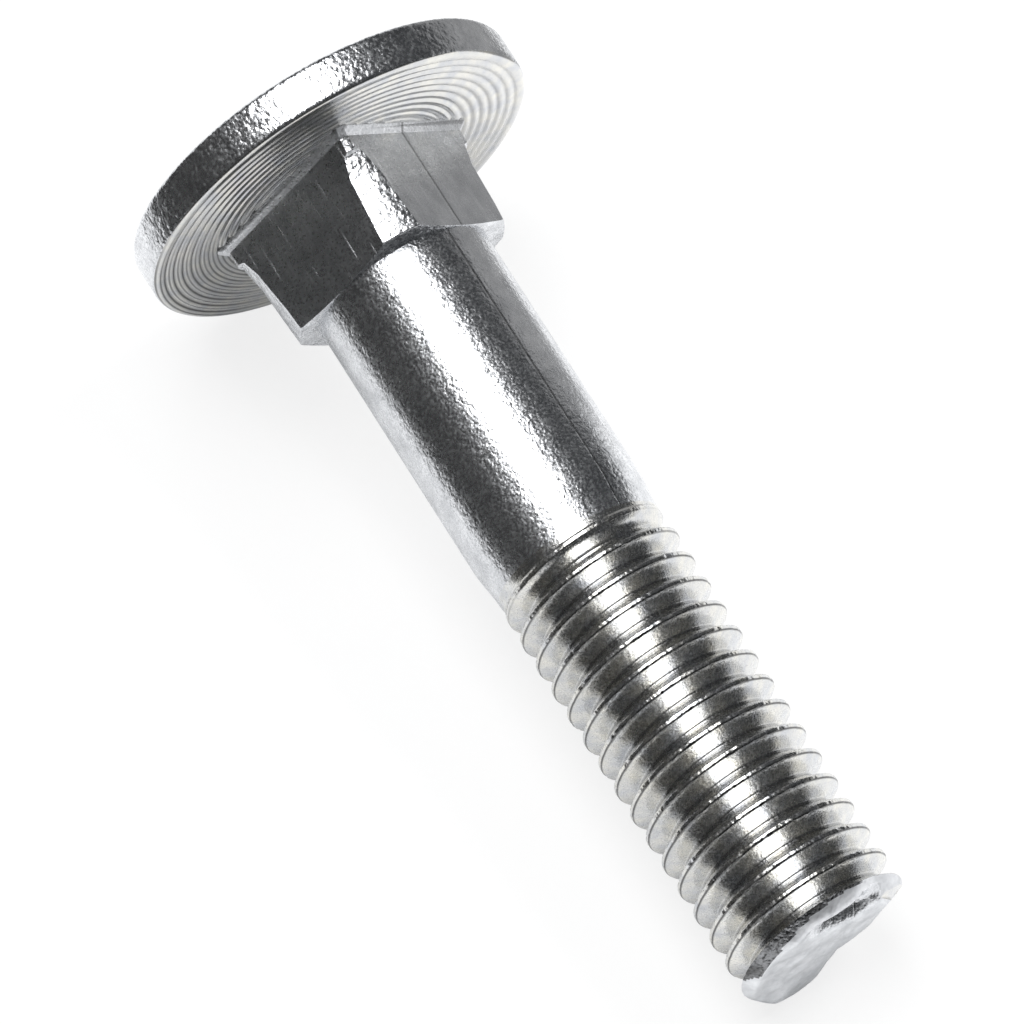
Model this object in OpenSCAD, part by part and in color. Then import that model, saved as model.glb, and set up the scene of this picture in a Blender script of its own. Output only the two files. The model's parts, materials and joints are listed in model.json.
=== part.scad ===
// Carriage bolt, M8 x 40: a low domed round head, a square neck that grips wood or a square hole,
// a plain shank and a rolled right-hand coarse thread. It lies at rest on its head's rim and on the
// last full crest of its thread.

/* [Head] */
// Diameter of the head
head_d = 18; // [16.5:0.1:21]
// Height of the head, from bearing face to top of crown
head_h = 3.5; // [3:0.1:5]
// Height of the upright rim, from bearing face to edge of crown
rim_h = 1.85; // [1.3:0.05:2.2]
// Rounding of the rim's edge at the bearing face
rim_round = 0.28; // [0.1:0.02:0.4]
// Bevel of the rim's edge at the crown
crown_bevel = 0.25; // [0.1:0.05:0.5]
// Diameter at which the turned rings of the bearing face begin
ring_start_d = 9; // [8.4:0.1:10]
// Distance between the turned rings
ring_pitch = 0.42; // [0.3:0.01:0.6]
// Depth of the turned rings
ring_depth = 0.06; // [0.03:0.01:0.12]
// Plain border of the bearing face outside the rings, at least
ring_border = 0.2; // [0.1:0.05:0.6]

/* [Neck] */
// Width of the square neck across its flats
neck_w = 8.1; // [7.6:0.05:8.6]
// Depth of the neck, from bearing face to shank
neck_h = 5.2; // [4.6:0.05:6]
// Diameter across the corners of the collar, next to the head
collar_d = 11.05; // [10.6:0.05:11.4]
// Depth of the collar, where the corners are nearly sharp
collar_h = 1; // [0.6:0.05:1.4]
// Depth of the step in each corner below the collar
step_h = 0.85; // [0.4:0.05:1.2]
// Diameter across the corners just below the step
corner_d = 10.2; // [9.8:0.05:10.5]
// Diameter across the corners at the shank's end of the neck
corner_end_d = 9.75; // [9.2:0.05:9.8]
// Depth of the rounded shoulder from the corners to the shank
shoulder_h = 0.32; // [0.2:0.02:0.6]
// Ledge that the shoulder leaves round the shank
shoulder_ledge = 0.12; // [0.08:0.02:0.3]
// Turn of the lowest corner away from the floor, in degrees
neck_roll = 6.7; // [0:0.1:45]

/* [Shank] */
// Length of the bolt, from bearing face to end face
length = 39.2; // [36:0.1:60]
// Diameter of the plain shank
shank_d = 8; // [7.9:0.02:8.4]
// Length of the slight taper from the shank to the thread
taper_l = 1.9; // [0.8:0.1:3]
// Diameter where the taper ends and the thread begins
waist_d = 7.66; // [7.3:0.02:7.8]

/* [Thread] */
// Major diameter of the thread
thread_d = 7.9; // [7.7:0.02:8.1]
// Pitch of the thread
thread_pitch = 1.25; // [1:0.05:1.5]
// Length of the threaded end, with its run-out
thread_l = 19.8; // [12:0.1:24]
// Length over which the thread reaches its full depth
runout_l = 2.3; // [1:0.1:4]
// Distance from the end face to the crest that rests on the floor
rest_crest = 1.22; // [1:0.01:2.4]

/* [End] */
// Diameter of the end face
end_d = 6.75; // [6.4:0.05:7.2]
// Slope of the end's chamfer against the axis, in degrees
chamfer_angle = 45; // [30:1:55]
// Distance from the axis at which the sheared side of the end begins
shear_off = 0.9; // [0:0.1:2.6]
// Slope of the sheared side against the end face, in degrees
shear_angle = 23; // [10:1:35]
// Turn of the sheared side away from the floor, in degrees
shear_roll = 49; // [0:1:90]

/* [Hidden] */
$fn = 96;
zinc = "#c6cace";
// Depth by which one shape reaches into the next, so that they join as one solid
overlap = 0.5;

head_r = head_d / 2;
shank_r = shank_d / 2;
thread_r = thread_d / 2;
end_r = end_d / 2;

// The crown is part of a sphere through the rim's upper edge and the top of the head
crown_h = head_h - rim_h;
crown_r = (head_r * head_r + crown_h * crown_h) / (2 * crown_h);
crown_z = crown_r - head_h;

ring_r = ring_start_d / 2;
ring_count = floor((head_r - rim_round - ring_border - ring_r) / ring_pitch);
rim_steps = 5;

// ISO thread form: half angle, depth and crest width as shares of the pitch, and the root's rounding
half_angle = 30;
depth_share = 0.6134;
crest_share = 1 / 8;
root_round_share = 0.09;
thread_depth = depth_share * thread_pitch;
root_r = thread_r - thread_depth;
root_round = root_round_share * thread_pitch;
flank_end = crest_share / 2 + (thread_depth - root_round) * tan(half_angle) / thread_pitch;
// Radius along one pitch, from the middle of one crest to the middle of the next
thread_form = [
    [0, thread_r],
    [crest_share / 2, thread_r],
    [flank_end, root_r + root_round],
    [0.5, root_r],
    [1 - flank_end, root_r + root_round],
    [1 - crest_share / 2, thread_r],
    [1, thread_r],
];
// The corners of that form, which the thread's surface follows from turn to turn
form_corners = [for (i = [1:5]) thread_form[i][0]];
corners = len(form_corners);
thread_columns = 36;
// Gap that keeps the thread's first ring inside the shank's end
runin_gap = 0.03;
runin_r = waist_d / 2 - runin_gap;
thread_z = length - thread_l;
start_z = thread_z - overlap;
crest_z = length - rest_crest;
// Levels closer than this to an end of the thread are taken into that end
sliver = 0.03;
turns_below = ceil((crest_z - start_z) / thread_pitch) + 2;
turns_above = ceil((length - crest_z) / thread_pitch) + 1;
levels = corners * (turns_below + turns_above);

// Lying at rest, the axis dips towards the thread
rest_z = crest_z + crest_share / 2 * thread_pitch;
dip = atan((head_r - thread_r) / (rest_z + rim_round));
axis_lift = head_r * cos(dip) - rim_round * sin(dip);
reach_back = crown_z * cos(dip) - crown_r;
reach_front = length * cos(dip) + surface_r(length, 180) * sin(dip);

function held(value, low, high) = min(high, max(low, value));

// Radius of the thread's surface at a height and an angle: full form, faded at the run-out,
// cut by the chamfer at the end
function form_r(z, angle) =
    let (turn = (z - crest_z) / thread_pitch - angle / 360)
    lookup(turn - floor(turn), thread_form);
function fade(z) = held((z - thread_z) / runout_l, 0, 1);
function chamfer_r(z) = end_r + (length - z) * tan(chamfer_angle);
function surface_r(z, angle) =
    min(chamfer_r(z), runin_r + (form_r(z, angle) - runin_r) * fade(z));

// Height of a level of the thread's surface on one of its columns
function level_z(column, level) =
    crest_z + thread_pitch * (floor(level / corners) - turns_below
    + form_corners[level % corners] + column / thread_columns);

// Turned by half a facet, so that a facet of the rim and not an edge between two lies on the floor
module head() {
    rim_edge = [for (step = [0:rim_steps]) let (a = 90 * (1 - step / rim_steps))
        [head_r + rim_round * (cos(a) - 1), rim_round * (sin(a) - 1)]];
    rings = [for (i = [0:ring_count - 1]) each [
        [ring_r + i * ring_pitch, 0],
        [ring_r + (i + 0.5) * ring_pitch, -ring_depth]]];
    bevel_z = crown_bevel - rim_h;
    blank = concat(
        [[0, 0]], rings, [[ring_r + ring_count * ring_pitch, 0]], rim_edge,
        [[head_r, bevel_z], [head_r - head_h, bevel_z - head_h], [0, bevel_z - head_h]]);
    rotate([0, 0, 180 / $fn])
        rotate_extrude()
            intersection() {
                polygon(blank);
                translate([0, crown_z]) circle(r = crown_r);
            }
}

// A square bar whose corners are cut back by a turned outline: collar, step, body and shoulder
module neck() {
    outline = [
        [0, -overlap],
        [collar_d / 2, -overlap],
        [collar_d / 2, collar_h],
        [corner_d / 2, collar_h + step_h],
        [corner_end_d / 2, neck_h - shoulder_h],
        [shank_r + shoulder_ledge, neck_h],
        [0, neck_h],
    ];
    intersection() {
        rotate([0, 0, 45 + neck_roll])
            translate([-neck_w / 2, -neck_w / 2, -overlap])
                cube([neck_w, neck_w, neck_h + overlap]);
        rotate_extrude() polygon(outline);
    }
}

module shank() {
    rotate_extrude()
        polygon([
            [0, -overlap],
            [shank_r, -overlap],
            [shank_r, thread_z - taper_l],
            [waist_d / 2, thread_z],
            [0, thread_z],
        ]);
}

// A skin of columns and levels. Column by column the levels climb with the helix, so its edges run
// along the crests and roots, and the last column meets the first one pitch further on.
module thread() {
    column_list = [0:thread_columns - 1];
    low = [for (c = column_list)
        max([for (k = [0:levels - 1]) if (level_z(c, k) <= start_z + sliver) k])];
    high = [for (c = column_list)
        min([for (k = [0:levels - 1]) if (level_z(c, k) >= length - sliver) k])];
    points = [for (c = column_list, k = [0:levels - 1])
        let (
            angle = 360 * c / thread_columns,
            z = k <= low[c] ? start_z : k >= high[c] ? length : level_z(c, k),
            r = surface_r(z, angle)
        ) [r * cos(angle), r * sin(angle), z]];
    function corner(c, k) =
        c < thread_columns
            ? c * levels + held(k, low[c], high[c])
            : held(k + corners, low[0], high[0]);
    skin = [for (c = column_list, k = [0:levels - 2])
        let (a = corner(c, k), b = corner(c + 1, k), d = corner(c, k + 1), e = corner(c + 1, k + 1))
        each [[a, d, e], [a, e, b]]];
    sides = [for (face = skin) if (face[0] != face[1] && face[1] != face[2] && face[2] != face[0]) face];
    first_ring = [for (c = column_list) corner(c, 0)];
    end_face = [for (c = [thread_columns - 1:-1:0]) corner(c, levels - 1)];
    polyhedron(points, concat(sides, [first_ring, end_face]));
}

// The end as the blank was sheared: one side of it slopes away
module threaded_end() {
    block = 3 * thread_d;
    difference() {
        thread();
        rotate([0, 0, shear_roll])
            translate([shear_off, 0, length])
                rotate([0, shear_angle, 0])
                    translate([0, -block / 2, 0])
                        cube(block);
    }
}

module bolt() {
    color(zinc)
        translate([-(reach_back + reach_front) / 2, 0, axis_lift])
            rotate([0, 90 + dip, 0])
                union() {
                    head();
                    neck();
                    shank();
                    threaded_end();
                }
}

bolt();
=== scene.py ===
"""A bright zinc-plated carriage bolt lying on a white studio floor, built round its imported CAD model."""

import json
import math

import bmesh
import bpy
from bpy.props import FloatProperty, FloatVectorProperty, PointerProperty
from mathutils import Matrix, Vector, noise


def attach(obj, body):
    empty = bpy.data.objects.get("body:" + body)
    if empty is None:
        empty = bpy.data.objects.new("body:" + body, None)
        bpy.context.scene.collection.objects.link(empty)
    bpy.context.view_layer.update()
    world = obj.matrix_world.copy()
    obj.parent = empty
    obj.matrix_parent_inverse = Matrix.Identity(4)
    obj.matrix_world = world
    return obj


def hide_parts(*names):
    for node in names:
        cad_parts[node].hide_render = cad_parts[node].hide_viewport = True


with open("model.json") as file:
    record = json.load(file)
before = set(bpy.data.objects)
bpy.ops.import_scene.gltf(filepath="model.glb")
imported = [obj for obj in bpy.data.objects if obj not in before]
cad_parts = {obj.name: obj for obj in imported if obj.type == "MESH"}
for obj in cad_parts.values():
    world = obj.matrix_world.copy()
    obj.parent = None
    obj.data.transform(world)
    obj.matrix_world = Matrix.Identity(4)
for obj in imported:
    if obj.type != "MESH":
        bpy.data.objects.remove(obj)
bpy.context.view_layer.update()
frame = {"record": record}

bl_info = {
    "name": "Carriage bolt",
    "version": (1, 0, 0),
    "blender": (4, 5, 0),
    "location": "View3D > Sidebar > Bolt",
    "description": "Models a zinc-plated carriage bolt and the studio that it lies in",
    "category": "Object",
}

MM = 0.001

# In millimetres: how close points are to be one, on one turned shape and from turn to turn of the thread,
# and how close they are to lie on a plane that cuts
SAME_POINT = 1e-4
SAME_TURN = 2e-3
ON_PLANE = 1e-5

# The CAD record's mounts give where the bolt lies: its seat under the head and its axis towards the end.
mounts = {mount["name"]: mount for mount in frame["record"]["mounts"]}
AXIS = Vector(mounts["shank"]["axis"]).normalized()
SEAT = Vector(mounts["bearing_face"]["pos_m"])
SEAT.y = 0.0
ACROSS = Vector((0.0, 1.0, 0.0))
DOWN = ACROSS.cross(AXIS)
TURN = Matrix((DOWN, ACROSS, AXIS)).transposed()
LAY = Matrix.Translation(SEAT) @ TURN.to_4x4() @ Matrix.Scale(MM, 4)
SHANK_R = mounts["shank"]["dims"]["r_mm"]

# Slots of the finishes on the bolt
RIM, FACE, NECK, SHANK, THREAD, CHAMFER, END = range(7)


def size(label, text, mm):
    """A length that a user may change, given in millimetres."""
    return FloatProperty(name=label, description=text, default=mm * MM, unit="LENGTH", precision=5)


def angle(label, text, degrees):
    """An angle that a user may change."""
    return FloatProperty(name=label, description=text, default=math.radians(degrees), subtype="ANGLE")


def share(label, text, value):
    """A share from 0 to 1 that a user may change."""
    return FloatProperty(name=label, description=text, default=value, min=0.0, max=1.0, subtype="FACTOR")


def colour(label, text, value):
    """A colour that a user may change."""
    return FloatVectorProperty(
        name=label, description=text, default=value, size=3, min=0.0, max=1.0, subtype="COLOR")


class BoltSizes(bpy.types.PropertyGroup):
    """Sizes of the bolt."""

    head_d: size("Head diameter", "Diameter of the head", 18.0)
    head_h: size("Head height", "Height of the head from bearing face to top of crown", 3.5)
    rim_h: size("Rim height", "Height of the upright rim", 1.85)
    rim_round: size("Rim rounding", "Rounding of the rim at the bearing face", 0.28)
    crown_round: size("Crown rounding", "Rounding of the rim at the crown", 0.3)
    ring_d: size("Ring start", "Diameter at which the turned rings begin", 8.8)
    ring_pitch: size("Ring pitch", "Distance between the turned rings", 0.42)
    ring_depth: size("Ring depth", "Depth of the turned rings", 0.06)
    neck_w: size("Neck width", "Width of the square neck across its flats", 8.1)
    neck_h: size("Neck depth", "Depth of the square neck below the head", 5.2)
    neck_base: size("Neck base", "Height of the flare where the neck meets the head", 0.32)
    collar_d: size("Collar diameter", "Diameter across the corners next to the head", 11.05)
    collar_h: size("Collar depth", "Depth of the nearly sharp corners", 0.98)
    step_d: size("Step diameter", "Diameter across the corners below the collar", 10.7)
    corner_d: size("Corner diameter", "Diameter across the corners half way", 10.24)
    corner_end_d: size("Corner end diameter", "Diameter across the corners at the shank", 9.9)
    neck_roll: angle("Neck roll", "Turn of the lowest corner away from the floor", 4.4)
    seam_roll: angle("Seam roll", "Turn of the blank's rolling seam on the shank away from the floor", 154.0)
    neck_seam_roll: angle("Neck seam roll", "Turn of the seam on the neck away from the floor", 141.0)
    length: size("Length", "Length from bearing face to end face", 39.2)
    taper_l: size("Taper length", "Length of the taper from shank to thread", 1.9)
    waist_d: size("Waist diameter", "Diameter where the thread begins", 7.66)
    thread_d: size("Thread diameter", "Diameter over the crests", 7.9)
    thread_pitch: size("Thread pitch", "Pitch of the right-hand thread", 1.25)
    thread_l: size("Thread length", "Length of the thread with its run-out", 19.8)
    runout_l: size("Run-out length", "Length over which the thread reaches its depth", 2.3)
    rest_crest: size("Resting crest", "Distance from the end to the crest on the floor", 1.22)
    end_d: size("End diameter", "Diameter of the end face", 6.75)
    shear_off: size("Shear start", "Distance from the axis to the sheared side", 0.9)
    shear_angle: angle("Shear slope", "Slope of the sheared side", 23.0)
    shear_roll: angle("Shear roll", "Turn of the sheared side away from the floor", 49.0)


class BoltFinish(bpy.types.PropertyGroup):
    """Colours and gloss of the zinc."""

    bright: colour("Bright zinc", "Colour of the bright plate", (0.78, 0.79, 0.81))
    dull: colour("Dull zinc", "Colour of the duller clouds in the plate", (0.58, 0.59, 0.61))
    warm: colour("Warm zinc", "Colour of the turned and the rolled faces", (0.74, 0.725, 0.68))
    # The dark colour paints the seam and the bruised edge at the end. It also paints shade: the thin line
    # below each thread crest, the thread's root and the lines on the turned rings
    dark: colour("Dark zinc", "Colour of grime, laps and the bruised edge at the end", (0.08, 0.08, 0.08))
    gloss: share("Roughness", "Roughness of the bright plate", 0.25)


class BoltStage(bpy.types.PropertyGroup):
    """The studio round the bolt."""

    floor: colour("Floor", "Colour of the floor", (0.95, 0.95, 0.95))
    azimuth: angle("Camera azimuth", "Direction of the camera from the head-to-end line", -30.89)
    elevation: angle("Camera elevation", "Height of the camera above the horizon", 58.86)
    distance: size("Camera distance", "Distance of the camera from its target", 382.2)


def in_mm(group, name):
    """One of the bolt's lengths in millimetres, as the bolt is modelled."""
    return getattr(group, name) / MM


# Mesh tools. Shapes are modelled in millimetres along +Z, bearing face at zero, local +X to the floor.

def filleted(corners, steps=4):
    """Points of an outline of (radius, height, rounding) corners, with each corner rounded."""
    points = []
    for i, (r, z, rounding) in enumerate(corners):
        here = Vector((r, z))
        if not rounding or i in (0, len(corners) - 1):
            points.append(here)
            continue
        back = (Vector(corners[i - 1][:2]) - here).normalized()
        ahead = (Vector(corners[i + 1][:2]) - here).normalized()
        half = back.angle(ahead) / 2
        reach = rounding / math.tan(half)
        centre = here + (back + ahead).normalized() * (rounding / math.sin(half))
        start, stop = here + back * reach - centre, here + ahead * reach - centre
        sweep = start.angle_signed(stop)
        for k in range(steps + 1):
            points.append(centre + Matrix.Rotation(-sweep * k / steps, 2) @ start)
    return [(p.x, p.y) for p in points]


def line(bm, points):
    """An open line of edges through (radius, height) points on the XZ plane."""
    verts = [bm.verts.new((r, 0.0, z)) for r, z in points]
    edges = [bm.edges.new(pair) for pair in zip(verts, verts[1:])]
    return verts + edges


def turned(outline, steps):
    """A closed turned shape: an outline from pole to pole, spun once round the axis."""
    bm = bmesh.new()
    bmesh.ops.spin(
        bm, geom=line(bm, outline), cent=(0, 0, 0), axis=(0, 0, 1), dvec=(0, 0, 0),
        angle=math.tau, steps=steps, use_merge=True)
    bmesh.ops.remove_doubles(bm, verts=bm.verts[:], dist=SAME_POINT)
    bmesh.ops.recalc_face_normals(bm, faces=bm.faces[:])
    return bm


def cut(bm, point, normal, clear=True):
    """Cuts along a plane. What lies beyond it is cleared, which leaves the cut open, or else stays."""
    bmesh.ops.bisect_plane(
        bm, geom=bm.verts[:] + bm.edges[:] + bm.faces[:], dist=ON_PLANE,
        plane_co=point, plane_no=normal, clear_outer=clear)


def open_edges(bm):
    """The edges of all open loops."""
    return [edge for edge in bm.edges if edge.is_boundary]


def close(bm):
    """Closes each open loop with one face."""
    bmesh.ops.edgeloop_fill(bm, edges=open_edges(bm))


def radius(co):
    """Distance of a point from the axis."""
    return math.hypot(co.x, co.y)


def set_radius(co, r):
    """Moves a point straight out from the axis to a radius."""
    grown = r / max(radius(co), 1e-9)
    co.x *= grown
    co.y *= grown


def smooth_step(value):
    """Rises smoothly from 0 at zero to 1 at one."""
    value = min(1.0, max(0.0, value))
    return value * value * (3.0 - 2.0 * value)


def soft_ramp(value, width):
    """Zero below zero and rising with slope one above it, with a rounded turn."""
    return 0.5 * (value + math.sqrt(value * value + width * width))


def uneven(co, *grains):
    """Noise at a point, added up from (frequency, height) grains."""
    return sum(noise.noise(co * frequency) * height for frequency, height in grains)


def as_object(bm, name):
    """An object of the scene from a mesh that is done."""
    mesh = bpy.data.meshes.new(name)
    bm.to_mesh(mesh)
    bm.free()
    made = bpy.data.objects.new(name, mesh)
    bpy.context.scene.collection.objects.link(made)
    return made


def combined(base, others, operation):
    """One closed mesh from solids that overlap. The solids themselves are removed."""
    for other in others:
        step = base.modifiers.new(operation.lower(), "BOOLEAN")
        step.operation = operation
        step.solver = "MANIFOLD"
        step.object = other
    bpy.context.view_layer.update()
    mesh = bpy.data.meshes.new_from_object(base.evaluated_get(bpy.context.evaluated_depsgraph_get()))
    if not mesh.polygons:
        raise RuntimeError(f"{base.name}: the solids didn't combine")
    for used in (base, *others):
        old = used.data
        bpy.data.objects.remove(used)
        bpy.data.meshes.remove(old)
    made = bpy.data.objects.new("solid", mesh)
    bpy.context.scene.collection.objects.link(made)
    return made


# The bolt's solids

# Steps round the axis
HEAD_STEPS = 192
NECK_STEPS = 160
END_STEPS = 144
THREAD_COLUMNS = 120
# Steps along one ring, the crown, the rim's roundings, the taper and the plain shank
RING_STEPS = 8
CROWN_STEPS = 24
RIM_STEPS = 5
TAPER_STEPS = 4
SHANK_STEPS = 16


def head_solid(sizes):
    """Crown, rim and the bearing face with its turned rings."""
    ring_border, ring_sharpness, facing_neck = 0.1, 1.5, 0.7
    # Steps of the crown next to the rim that give way to the rounding
    rounded = 3
    r, top = in_mm(sizes, "head_d") / 2, -in_mm(sizes, "head_h")
    rim = -in_mm(sizes, "rim_h")
    pitch, depth = in_mm(sizes, "ring_pitch"), in_mm(sizes, "ring_depth")
    first = in_mm(sizes, "ring_d") / 2
    rings = int((r - in_mm(sizes, "rim_round") - ring_border - first) / pitch)
    crown_h = rim - top
    crown_r = (r * r + crown_h * crown_h) / (2 * crown_h)
    outline = [(0.0, 0.0), (first - pitch, 0.0)]
    for k in range(rings * RING_STEPS + 1):
        wave = (0.5 - 0.5 * math.cos(math.tau * k / RING_STEPS)) ** ring_sharpness
        outline.append((first + k * pitch / RING_STEPS, -depth * wave))
    crown = [(math.sin(a) * crown_r, top + crown_r * (1 - math.cos(a)))
             for a in (math.asin(r / crown_r) * k / CROWN_STEPS for k in range(CROWN_STEPS, -1, -1))]
    corners = [(outline[-1][0], 0.0, 0.0), (r, 0.0, in_mm(sizes, "rim_round")),
               (r, crown[0][1], in_mm(sizes, "crown_round")), (*crown[rounded], 0.0)]
    border = filleted(corners, steps=RIM_STEPS)
    outline += border[1:] + crown[rounded + 1:]
    bm = turned(outline, HEAD_STEPS)
    for face in bm.faces:
        face.material_index = FACE if face.normal.z > facing_neck else RIM
    return as_object(bm, "head")


def neck_solid(sizes):
    """A turned outline of collar, step, body and shoulder, with four flats cut from it."""
    collar, corner = in_mm(sizes, "collar_d") / 2, in_mm(sizes, "corner_d") / 2
    step, end = in_mm(sizes, "step_d") / 2, in_mm(sizes, "corner_end_d") / 2
    collar_h, depth = in_mm(sizes, "collar_h"), in_mm(sizes, "neck_h")
    flat, base, flare = in_mm(sizes, "neck_w") / 2, in_mm(sizes, "neck_base"), 1.2
    # How far the neck reaches into the head and widens towards it, its step, its body and its shoulder
    sink, draft = 0.6, 0.08
    step_h, step_round, body_h, body_round = 0.1, 0.05, 1.2, 3.0
    shoulder, shoulder_round, ledge, ledge_round = 0.14, 0.08, 0.04, 0.03
    # The edges of the flats, how squarely a flat faces out, and what is too near the axis to flare
    edge_bevel, edge_width, on_side, near_axis = 0.05, 0.12, 0.98, 1.0
    outline = filleted([
        (0.0, -sink, 0.0), (collar + draft, -sink, 0.0), (collar, collar_h, step_round),
        (step, collar_h + step_h, step_round), (corner, collar_h + body_h, body_round),
        (end, depth - shoulder, shoulder_round), (SHANK_R + ledge, depth, ledge_round), (0.0, depth, 0.0)])
    bm = turned(outline, NECK_STEPS)
    sides = [Vector((math.cos(a), math.sin(a), 0.0))
             for a in (sizes.neck_roll + math.pi / 4 + k * math.pi / 2 for k in range(4))]
    for out in sides:
        cut(bm, out * flat, out)
        close(bm)
    # The flats are the only upright faces with many corners
    many, upright = 12, 0.5
    flats = {face for face in bm.faces if len(face.verts) > many and abs(face.normal.z) < upright}
    borders = [edge for edge in bm.edges if len(set(edge.link_faces) & flats) == 1]
    bmesh.ops.bevel(
        bm, geom=borders, offset=edge_bevel, offset_type="OFFSET", segments=2, profile=0.5,
        affect="EDGES", material=-1, clamp_overlap=True)
    for vert in bm.verts:
        out = max(sides, key=vert.co.dot)
        if vert.co.dot(out) > flat - edge_width:
            ragged = uneven(vert.co, (1.6, 0.07), (4.0, 0.04))
            vert.co += out.cross(Vector((0, 0, 1))) * ragged
    for share_up in (0.0, 0.5, 1.0):
        cut(bm, (0, 0, base * share_up), (0, 0, 1), clear=False)
    for vert in bm.verts:
        if vert.co.z < base and radius(vert.co) > near_axis:
            flared = base - max(vert.co.z, 0.0)
            set_radius(vert.co, radius(vert.co) + flare * flared)
    bmesh.ops.triangulate(bm, faces=[face for face in bm.faces if len(face.verts) > 4])
    bmesh.ops.recalc_face_normals(bm, faces=bm.faces[:])
    for face in bm.faces:
        on_flat = max(face.normal.dot(out) for out in sides) > on_side
        low = face.calc_center_median().z < base
        face.material_index = NECK if on_flat or low else RIM
    return as_object(bm, "neck")


def thread_form(sizes):
    """Points along one pitch of the thread, from the middle of a crest to the middle of the next."""
    pitch, crest_r = in_mm(sizes, "thread_pitch"), in_mm(sizes, "thread_d") / 2
    crest, root, half_angle = 0.22, 0.15, math.radians(30.0)
    front_round, root_round, back_round = 0.17, 0.11, 0.05
    run = (pitch - crest - root) / 2
    depth = run / math.tan(half_angle)
    root_r = crest_r - depth
    return filleted([
        (crest_r, 0.0, 0.0), (crest_r, crest / 2, front_round),
        (root_r, crest / 2 + run, root_round), (root_r, crest / 2 + run + root, root_round),
        (crest_r, pitch - crest / 2, back_round), (crest_r, pitch, 0.0)])


def helix(form, pitch, turns):
    """A thread's surface: one pitch of its form spun once round the axis, and copied along it."""
    bm = bmesh.new()
    bmesh.ops.spin(
        bm, geom=line(bm, form), cent=(0, 0, 0), axis=(0, 0, 1),
        dvec=(0, 0, pitch / THREAD_COLUMNS), angle=math.tau, steps=THREAD_COLUMNS)
    turn = bm.verts[:] + bm.edges[:] + bm.faces[:]
    for k in range(1, turns):
        copied = bmesh.ops.duplicate(bm, geom=turn)["geom"]
        verts = [item for item in copied if isinstance(item, bmesh.types.BMVert)]
        bmesh.ops.translate(bm, verts=verts, vec=(0, 0, k * pitch))
    bmesh.ops.remove_doubles(bm, verts=bm.verts[:], dist=SAME_TURN)
    return bm


def shank_solid(sizes):
    """The thread with its run-out and worn crests, and the plain shank drawn out of its first loop."""
    pitch, length = in_mm(sizes, "thread_pitch"), in_mm(sizes, "length")
    begin = length - in_mm(sizes, "thread_l")
    waist, taper_l = in_mm(sizes, "waist_d") / 2, in_mm(sizes, "taper_l")
    crest_r = in_mm(sizes, "thread_d") / 2
    crest = length - in_mm(sizes, "rest_crest")
    # The form rises over the run-out's first part. Nicks are cut where the noise is over a level, less
    # deep further down the crest. The solid reaches past the end and into the head.
    rise = 0.6 * in_mm(sizes, "runout_l")
    nick_level, nick_depth, nick_reach = 0.25, 0.07, 0.15
    past_end, into_head = 0.4, 1.0
    below = math.ceil((crest - begin) / pitch) + 2
    above = math.ceil((length - crest) / pitch) + 3
    form = [(r, z + crest - below * pitch) for r, z in thread_form(sizes)]
    bm = helix(form, pitch, below + above)
    for vert in bm.verts:
        r = radius(vert.co)
        full = smooth_step((vert.co.z - begin) / rise)
        worn = uneven(vert.co, (2.3, 1.0), (5.1, 0.6))
        nick = max(0.0, worn - nick_level) * nick_depth * max(0.0, 1.0 - (crest_r - r) / nick_reach)
        set_radius(vert.co, waist + (r - nick - waist) * full)
    cut(bm, (0, 0, begin), (0, 0, -1))
    cut(bm, (0, 0, length + past_end), (0, 0, 1))
    top = [edge for edge in open_edges(bm) if edge.verts[0].co.z > length]
    bmesh.ops.edgeloop_fill(bm, edges=top)
    taper = begin - taper_l
    loops = [(begin - k * taper_l / TAPER_STEPS, waist + (SHANK_R - waist) * smooth_step(k / TAPER_STEPS))
             for k in range(1, TAPER_STEPS + 1)]
    loops += [(taper - k * (taper + into_head) / SHANK_STEPS, SHANK_R) for k in range(1, SHANK_STEPS + 1)]
    for z, r in loops:
        drawn = bmesh.ops.extrude_edge_only(bm, edges=open_edges(bm))["geom"]
        for vert in drawn:
            if isinstance(vert, bmesh.types.BMVert):
                vert.co.z = z
                set_radius(vert.co, r)
    close(bm)
    bmesh.ops.recalc_face_normals(bm, faces=bm.faces[:])
    for face in bm.faces:
        face.material_index = THREAD if face.calc_center_median().z > begin else SHANK
    return as_object(bm, "shank")


def bump(value, middle, width, power=2):
    """A smooth bump of height one and a given half width round its middle."""
    return math.exp(-((value - middle) / width) ** power)


def dent_share(co):
    """Depth of the dent under the end's upper edge, from 0 to 1."""
    return bump(co.x, -2.6, 0.42) * bump(co.y, 0.5, 1.6, power=4)


def end_height(sizes, co):
    """Height of the end's surface over a point: chamfered, sheared on one side, dented and rough."""
    length, end_r = in_mm(sizes, "length"), in_mm(sizes, "end_d") / 2
    x, y = co.x, co.y
    shear_round, chamfer_round, chamfer_x, chamfer_y = 0.25, 0.1, 0.25, -0.17
    dent_depth, lip_height = 0.6, 0.22
    # The edge of the sheared side is torn: it starts further out at one of its ends and near its middle
    toward = Vector((math.cos(sizes.shear_roll), math.sin(sizes.shear_roll), 0.0))
    off, along = co.dot(toward), y * toward.x - x * toward.y
    torn = 0.75 * smooth_step((-0.7 - along) / 2.2) + 0.45 * bump(along, 1.0, 0.9)
    sheared = soft_ramp(off - in_mm(sizes, "shear_off") - torn, shear_round) * math.tan(sizes.shear_angle)
    chamfered = soft_ramp(math.hypot(x - chamfer_x, y - chamfer_y) - end_r, chamfer_round)
    dent = dent_depth * dent_share(co)
    lip = lip_height * bump(x, 2.6, 0.9) * bump(y, -2.2, 0.9)
    rough = uneven(Vector((x, y, 0.0)), (1.3, 0.05)) + uneven(Vector((x, y, 3.0)), (4.0, 0.015))
    return length - max(chamfered, sheared) - dent + lip + rough


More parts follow.
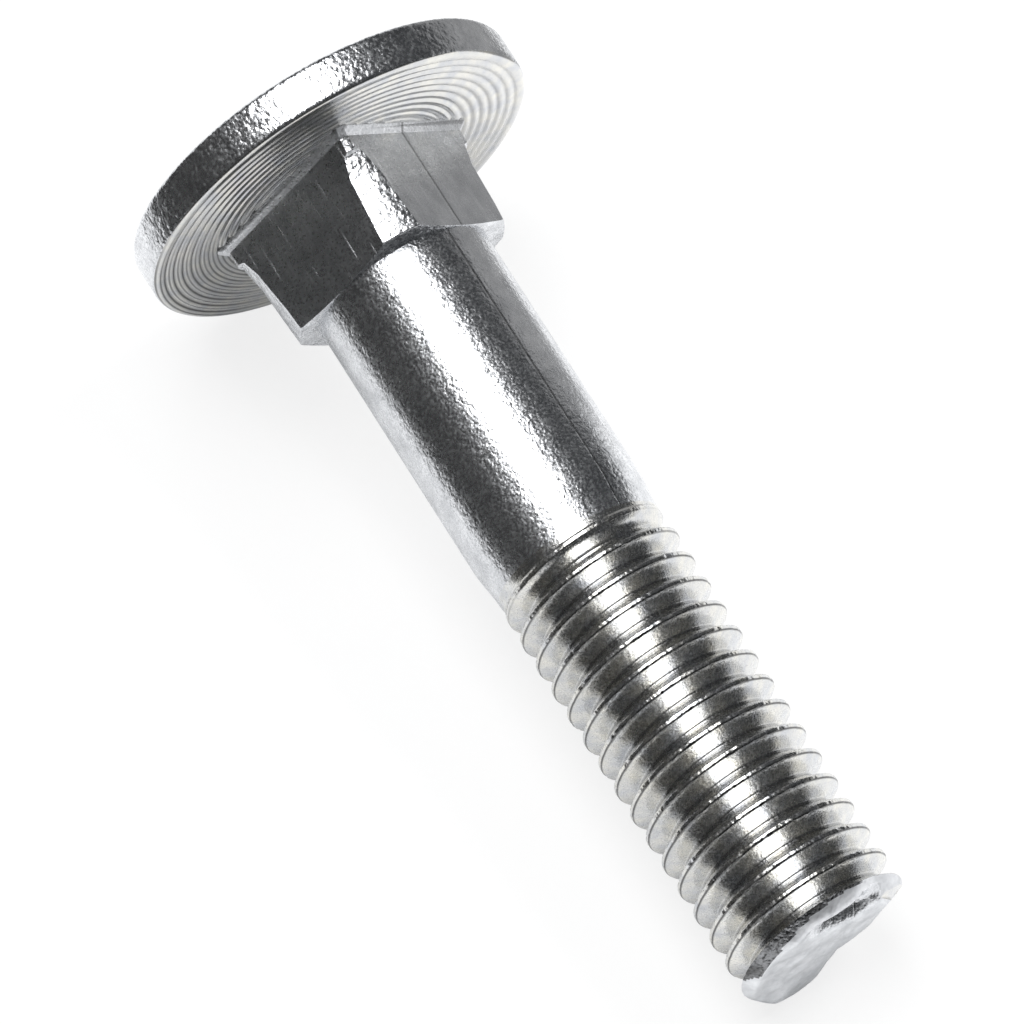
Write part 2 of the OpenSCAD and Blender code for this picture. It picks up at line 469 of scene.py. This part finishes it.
def bruised(sizes, co):
    """Whether a point lies on the bruised chamfer, whose inner edge climbs with the thread and then ends."""
    bruise_end = math.radians(265.0)
    before = bruise_end - math.atan2(co.y, co.x) % math.tau
    inner = max(0.02, 0.33 * before - 0.15, 0.5 - 2.2 * before)
    return before > 0 and radius(co) > in_mm(sizes, "end_d") / 2 + inner


def end_solid(sizes):
    """What the end is cut to: a round blank, wider than the thread, with the end's surface on top."""
    length = in_mm(sizes, "length")
    # The blank, the loops of its top, and the depth from which the dent has its own finish
    blank_r, foot, loop, loops, dented = 4.7, -2.0, 0.08, 58, 0.15
    top = [(blank_r - loop * k, length) for k in range(loops)]
    bm = turned([(0.0, foot), (blank_r, foot)] + top + [(0.0, length)], END_STEPS)
    for vert in bm.verts:
        if vert.co.z > 0:
            vert.co.z = end_height(sizes, vert.co)
    bm.normal_update()
    for face in bm.faces:
        middle = face.calc_center_median()
        if bruised(sizes, middle):
            face.material_index = CHAMFER
        else:
            face.material_index = SHANK if dent_share(middle) > dented else END
    return as_object(bm, "end")


# Finishes

# Edges sharper than this are shaded as edges
SHARP_FROM = math.radians(35.0)
# Angle round the axis towards which painted shade darkens lines on the turned rings
RINGS_SHADE_SIDE = math.radians(-66.0)


def add(tree, kind, inputs=None, **settings):
    """A shader node with its settings, its values and its links."""
    made = tree.nodes.new(kind)
    for key, value in settings.items():
        setattr(made, key, value)
    for key, value in (inputs or {}).items():
        if isinstance(value, bpy.types.NodeSocket):
            tree.links.new(value, made.inputs[key])
        else:
            made.inputs[key].default_value = value
    return made


def zinc(name, colours, rough, coarse, fine, spots, drawn=0.0, seam=None, thread=None, rings=None):
    """Zinc plate: cloudy colour, uneven gloss and a mottle that breaks up what it mirrors.

    colours are those of the plate, its duller clouds and its dark marks and painted shade. coarse and fine
    are (width, depth) of two grains of the mottle in millimetres, spots is how far the fine one varies
    colour and gloss, drawn the strength of the streaks drawn along the bolt, seam the angle of the blank's
    rolling seam, thread the (pitch, height of a crest, begin, run-out) of a thread with painted shade in a
    thin line just below each crest and in its root, and rings the (first radius, pitch, angle) of turned
    rings with painted shade in two dark lines on each ring, which fade out away from that angle.
    """
    bright, dull, dark = colours
    made = bpy.data.materials.new(name)
    made.use_nodes = True
    tree = made.node_tree
    shader = tree.nodes["Principled BSDF"]
    shader.inputs["Metallic"].default_value = 1.0
    spot = add(tree, "ShaderNodeTexCoord").outputs["Object"]
    along = add(tree, "ShaderNodeMapping", {
        "Vector": spot, "Location": SEAT, "Rotation": TURN.to_euler(), "Scale": (MM, MM, MM)},
        vector_type="TEXTURE").outputs["Vector"]

    def grain(width, detail=1.0, vector=along):
        return add(tree, "ShaderNodeTexNoise", {
            "Vector": vector, "Scale": 1.0 / width, "Detail": detail, "Roughness": 0.55}).outputs["Fac"]

    def stretched(scale):
        return add(tree, "ShaderNodeMapping", {"Vector": along, "Scale": scale}).outputs["Vector"]

    def pressed(height, depth, normal=None):
        inputs = {"Strength": 1.0, "Distance": depth * MM, "Height": height}
        if normal:
            inputs["Normal"] = normal
        return add(tree, "ShaderNodeBump", inputs).outputs["Normal"]

    def mixed(factor, low, high):
        # The sockets of a colour mix share their names with other kinds, so they are taken by number
        first, second, result = 6, 7, 2
        ends = {first: low, second: high}
        inputs = {socket: value if isinstance(value, bpy.types.NodeSocket) else (*value, 1.0)
                  for socket, value in ends.items()}
        mix = add(tree, "ShaderNodeMix", {"Factor": factor, **inputs}, data_type="RGBA")
        return mix.outputs[result]

    def ranged(value, low, high, to_low, to_high):
        return add(tree, "ShaderNodeMapRange", {
            "Value": value, "From Min": low, "From Max": high,
            "To Min": to_low, "To Max": to_high}).outputs["Result"]

    def calc(operation, *values):
        return add(tree, "ShaderNodeMath", dict(enumerate(values)), operation=operation).outputs[0]

    cloud_width = 0.9
    tint = mixed(ranged(grain(cloud_width, 4.0), 0.35, 0.65, 0.0, 1.0), dull, bright)
    rolled, speckle = grain(coarse[0]), grain(fine[0])
    normal = pressed(speckle, fine[1], pressed(rolled, coarse[1]))
    tint = mixed(ranged(speckle, 0.56, 0.72, 0.0, spots), tint, dull)
    gloss = ranged(speckle, 0.4, 0.75, rough * (1.0 - 0.2 * spots), rough * (1.0 + 1.4 * spots))
    place = add(tree, "ShaderNodeSeparateXYZ", {"Vector": along}).outputs
    angle_here = calc("ARCTAN2", place["Y"], place["X"])
    if drawn:
        scratch_depth = 0.012 * drawn
        streak = grain(1.0, 2.0, stretched((6.0, 6.0, 0.12)))
        tint = mixed(ranged(streak, 0.35, 0.65, 0.0, drawn), tint, dull)
        scratch = ranged(grain(1.0, 1.0, stretched((8.0, 8.0, 0.25))), 0.68, 0.74, 0.0, 1.0)
        normal = pressed(scratch, scratch_depth, normal)
    if seam is not None:
        half_line, half_groove, seam_dark, seam_depth = 0.009, 0.018, 0.6, -0.008
        off = calc("ABSOLUTE", calc("SUBTRACT", angle_here, seam))
        line_here = ranged(off, half_line, half_groove, 1.0, 0.0)
        tint = mixed(calc("MULTIPLY", line_here, seam_dark), tint, dark)
        normal = pressed(line_here, seam_depth, normal)
    if rings:
        # Painted shade: each ring gets two dark lines, half a pitch apart, that fade out away from one angle
        # round the axis
        first, pitch, shade_side = rings
        out = calc("SQRT", calc("ADD", calc("POWER", place["X"], 2.0), calc("POWER", place["Y"], 2.0)))
        turns = calc("DIVIDE", calc("SUBTRACT", out, first), 0.5 * pitch)
        beside = calc("ABSOLUTE", calc("SUBTRACT", calc("FRACT", turns), 0.5))
        near = ranged(calc("COSINE", calc("SUBTRACT", angle_here, shade_side)), 0.55, 0.95, 0.0, 1.0)
        tint = mixed(calc("MULTIPLY", ranged(beside, 0.08, 0.3, 0.85, 0.0), near), tint, dark)
    if thread:
        # Places across the thread are shares of its pitch, counted from the middle of the crest
        pitch, crest, begin, runout = thread
        crest_shade_place, shade_darkness, bead_width, bead_depth = 0.07, 0.9, 0.34, 0.055
        level = calc("DIVIDE", calc("SUBTRACT", place["Z"], crest), pitch)
        phase = calc("SUBTRACT", level, calc("DIVIDE", angle_here, math.tau))
        from_crest = calc("SUBTRACT", calc("FRACT", calc("ADD", phase, 0.5)), 0.5)
        off_crest = calc("ABSOLUTE", from_crest)
        off_crest_shade = calc("ABSOLUTE", calc("SUBTRACT", from_crest, crest_shade_place))
        full = ranged(place["Z"], begin, begin + runout, 0.0, 1.0)
        # Painted shade: a thin dark line just below each crest and a darkened root, where shade falls in the
        # grooves, both growing in over the run-out
        crest_shade = ranged(off_crest_shade, 0.015, 0.045, 1.0, 0.0)
        root = ranged(off_crest, 0.42, 0.48, 0.0, 0.6)
        painted_shade = calc("MULTIPLY", calc("MAXIMUM", crest_shade, root), full)
        tint = mixed(calc("MULTIPLY", painted_shade, shade_darkness), tint, dark)
        beads = calc("MULTIPLY", ranged(off_crest, 0.05, 0.12, 1.0, 0.0), grain(bead_width))
        normal = pressed(beads, bead_depth, normal)
    tree.links.new(tint, shader.inputs["Base Color"])
    tree.links.new(gloss, shader.inputs["Roughness"])
    tree.links.new(normal, shader.inputs["Normal"])
    return made


class OBJECT_OT_carriage_bolt(bpy.types.Operator):
    """Models the bolt as one solid and gives it its zinc finishes"""

    bl_idname = "object.carriage_bolt"
    bl_label = "Carriage bolt"

    def execute(self, context):
        sizes, finish = context.scene.bolt_sizes, context.scene.bolt_finish
        shank = combined(shank_solid(sizes), [end_solid(sizes)], "INTERSECT")
        bolt = combined(head_solid(sizes), [neck_solid(sizes), shank], "UNION")
        bolt.name = bolt.data.name = "carriage_bolt"
        bolt.data.transform(LAY)
        # The combined mesh may come with an empty slot, which the first finish takes
        for slot, made in enumerate(self.finishes(sizes, finish)):
            if slot < len(bolt.data.materials):
                bolt.data.materials[slot] = made
            else:
                bolt.data.materials.append(made)
        bolt.data.shade_smooth()
        bolt.data.set_sharp_from_angle(angle=SHARP_FROM)
        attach(bolt, "root")
        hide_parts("bolt")
        return {"FINISHED"}

    def finishes(self, sizes, finish):
        """The bolt's finishes, in the order of their slots."""
        gloss, dull, dark = finish.gloss, finish.dull, finish.dark
        plate, warm = (finish.bright, dull, dark), (finish.warm, dull, dark)
        grimy = ([0.5 * part for part in dull], dark, dark)
        begin = in_mm(sizes, "length") - in_mm(sizes, "thread_l")
        crest = in_mm(sizes, "length") - in_mm(sizes, "rest_crest")
        thread = in_mm(sizes, "thread_pitch"), crest, begin, in_mm(sizes, "runout_l")
        # The bearing face's turned rings get painted shade: dark lines on one side of it
        rings = in_mm(sizes, "ring_d") / 2, in_mm(sizes, "ring_pitch"), RINGS_SHADE_SIDE
        return (
            zinc("rim_zinc", plate, gloss, (0.33, 0.05), (0.14, 0.022), 0.5),
            zinc("face_zinc", warm, gloss * 0.7, (0.3, 0.002), (0.14, 0.001), 0.2, rings=rings),
            zinc("neck_zinc", plate, gloss * 1.15, (0.3, 0.003), (0.11, 0.007), 0.3,
                 drawn=0.62, seam=sizes.neck_seam_roll),
            zinc("shank_zinc", plate, gloss, (0.24, 0.026), (0.11, 0.012), 0.45, seam=sizes.seam_roll),
            zinc("thread_zinc", warm, gloss * 0.87, (0.3, 0.005), (0.11, 0.007), 0.45, thread=thread),
            zinc("chamfer_zinc", grimy, gloss, (0.3, 0.05), (0.14, 0.04), 1.0),
            zinc("end_zinc", plate, gloss * 1.6, (0.3, 0.015), (0.14, 0.003), 0.2))


# The studio

# The camera's target in metres, and its lens and sensor in millimetres
TARGET = Vector((-2.14, -1.07, 5.78)) * MM
LENS, SENSOR = 325.5, 36.0
FLOOR_R, FLOOR_STEPS = 3.0, 64
# Share of the floor's own glow that the camera sees, and that the metal mirrors
SEEN_GLOW, MIRRORED_GLOW = 0.8, 0.1
# Strength of the world's light in what the metal mirrors, and as fill light
SKY, FILL = 0.06, 0.2


def lamp(name, place, target, across, wide, long, radiance):
    """A softbox: a flat light of a given radiance that faces a target, its long side along a line."""
    data = bpy.data.lights.new(name, "AREA")
    data.shape = "RECTANGLE"
    data.size, data.size_y = long, wide
    data.energy = radiance * math.pi * wide * long
    made = bpy.data.objects.new(name, data)
    back = (place - target).normalized()
    side = (across - back * across.dot(back)).normalized()
    turn = Matrix((side, back.cross(side), back)).transposed()
    made.matrix_world = Matrix.Translation(place) @ turn.to_4x4()
    bpy.context.scene.collection.objects.link(made)
    return made


class SCENE_OT_bolt_stage(bpy.types.Operator):
    """Sets up the floor, the lights, the world and the camera"""

    bl_idname = "scene.bolt_stage"
    bl_label = "Studio"

    def execute(self, context):
        scene, stage = context.scene, context.scene.bolt_stage
        a, e = stage.azimuth, stage.elevation
        to_camera = Vector((math.cos(e) * math.cos(a), math.cos(e) * math.sin(a), math.sin(e)))
        data = bpy.data.cameras.new("camera")
        data.lens, data.sensor_width = LENS, SENSOR
        camera = bpy.data.objects.new("camera", data)
        camera.matrix_world = (
            Matrix.Translation(TARGET + to_camera * stage.distance)
            @ (-to_camera).to_track_quat("-Z", "Y").to_matrix().to_4x4())
        scene.collection.objects.link(camera)
        scene.camera = camera

        bm = bmesh.new()
        bmesh.ops.create_circle(bm, cap_ends=True, segments=FLOOR_STEPS, radius=FLOOR_R)
        floor = as_object(bm, "floor")
        floor.data.materials.append(self.floor_finish(stage.floor))

        # The softbox hangs over the bolt, as the camera sees it, moved towards the head and to the right
        up = (to_camera - AXIS * to_camera.dot(AXIS)).normalized()
        right = up.cross(AXIS)
        head_side, right_side = math.radians(-22.0), math.radians(8.5)
        over = (up * math.cos(right_side) + right * math.sin(right_side)) * math.cos(head_side)
        over += AXIS * math.sin(head_side)
        away = 0.6
        lamp("softbox", TARGET + over * away, TARGET, AXIS, wide=0.36, long=0.53, radiance=6.0)
        overhead = TARGET + Vector((0.0, 0.5, 0.5))
        shadow_lamp = lamp("overhead", overhead, TARGET, AXIS, wide=0.25, long=0.25, radiance=13.0)
        shadow_lamp.visible_glossy = False

        self.card("black_card", long=0.12, high=0.06, place=(-0.02, -0.024, 0.03), level=0.05)
        # The grey card is a painted shadow: seen only in the metal, it stands for the shadowed floor beside
        # the head
        self.card("painted_shadow_card", long=0.043, high=0.02, place=(-0.0305, 0.021, 0.01), level=0.36)

        world = bpy.data.worlds.new("studio")
        world.use_nodes = True
        tree = world.node_tree
        sky = tree.nodes["Background"]
        sky.inputs["Color"].default_value = (0.92, 0.96, 1.0, 1.0)
        ray = add(tree, "ShaderNodeLightPath")
        strength = add(tree, "ShaderNodeMapRange", {
            "Value": ray.outputs["Is Diffuse Ray"], "To Min": SKY, "To Max": FILL})
        tree.links.new(strength.outputs["Result"], sky.inputs["Strength"])
        scene.world = world
        scene.view_settings.view_transform = "Standard"
        return {"FINISHED"}

    def card(self, name, long, high, place, level):
        """An upright card beside the bolt that only the metal mirrors, at a level from black to white."""
        bm = bmesh.new()
        bmesh.ops.create_grid(bm, x_segments=1, y_segments=1, size=0.5)
        bmesh.ops.scale(bm, vec=(long, high, 1.0), verts=bm.verts)
        upright = Matrix.Rotation(math.pi / 2, 3, "X")
        bmesh.ops.rotate(bm, cent=(0, 0, 0), matrix=upright, verts=bm.verts)
        bmesh.ops.translate(bm, vec=place, verts=bm.verts)
        made = as_object(bm, name)
        paper = bpy.data.materials.new(name)
        paper.use_nodes = True
        tree = paper.node_tree
        tree.nodes.clear()
        glow = add(tree, "ShaderNodeEmission", {"Color": (level, level, level, 1.0), "Strength": 1.0})
        out = add(tree, "ShaderNodeOutputMaterial")
        tree.links.new(glow.outputs[0], out.inputs["Surface"])
        made.data.materials.append(paper)
        made.visible_camera = made.visible_diffuse = made.visible_shadow = False

    def floor_finish(self, paint):
        """White floor with a glow mixed in: much for the camera, so that only part of the shadow shows,
        and a little for the metal that mirrors it."""
        made = bpy.data.materials.new("floor_white")
        made.use_nodes = True
        tree = made.node_tree
        tree.nodes.clear()
        lit = add(tree, "ShaderNodeBsdfDiffuse", {"Color": (*paint, 1.0)})
        glow = add(tree, "ShaderNodeEmission", {"Color": (1.0, 1.0, 1.0, 1.0), "Strength": 1.0})
        ray = add(tree, "ShaderNodeLightPath")
        mirrored = add(tree, "ShaderNodeMath", {
            0: ray.outputs["Is Glossy Ray"], 1: ray.outputs["Is Transmission Ray"]}, operation="MAXIMUM")
        mirrored = add(tree, "ShaderNodeMath", {
            0: mirrored.outputs[0], 1: MIRRORED_GLOW}, operation="MULTIPLY")
        part = add(tree, "ShaderNodeMath", {
            0: ray.outputs["Is Camera Ray"], 1: SEEN_GLOW, 2: mirrored.outputs[0]}, operation="MULTIPLY_ADD")
        mix = add(tree, "ShaderNodeMixShader", {
            0: part.outputs[0], 1: lit.outputs[0], 2: glow.outputs[0]})
        out = add(tree, "ShaderNodeOutputMaterial")
        tree.links.new(mix.outputs[0], out.inputs["Surface"])
        return made


class VIEW3D_PT_carriage_bolt(bpy.types.Panel):
    """Lists the bolt's sizes and the operators that build it"""

    bl_label = "Carriage bolt"
    bl_idname = "VIEW3D_PT_carriage_bolt"
    bl_space_type = "VIEW_3D"
    bl_region_type = "UI"
    bl_category = "Bolt"

    def draw(self, context):
        layout = self.layout
        for group in (context.scene.bolt_sizes, context.scene.bolt_finish, context.scene.bolt_stage):
            column = layout.column()
            for name in type(group).__annotations__:
                column.prop(group, name)
        layout.operator(OBJECT_OT_carriage_bolt.bl_idname)
        layout.operator(SCENE_OT_bolt_stage.bl_idname)


CLASSES = (
    BoltSizes, BoltFinish, BoltStage,
    OBJECT_OT_carriage_bolt, SCENE_OT_bolt_stage, VIEW3D_PT_carriage_bolt)


def register():
    for made in CLASSES:
        bpy.utils.register_class(made)
    bpy.types.Scene.bolt_sizes = PointerProperty(type=BoltSizes)
    bpy.types.Scene.bolt_finish = PointerProperty(type=BoltFinish)
    bpy.types.Scene.bolt_stage = PointerProperty(type=BoltStage)


def unregister():
    del bpy.types.Scene.bolt_sizes, bpy.types.Scene.bolt_finish, bpy.types.Scene.bolt_stage
    for made in reversed(CLASSES):
        bpy.utils.unregister_class(made)


def main():
    register()
    bpy.ops.object.carriage_bolt()
    bpy.ops.scene.bolt_stage()


if __name__ == "__main__":
    main()
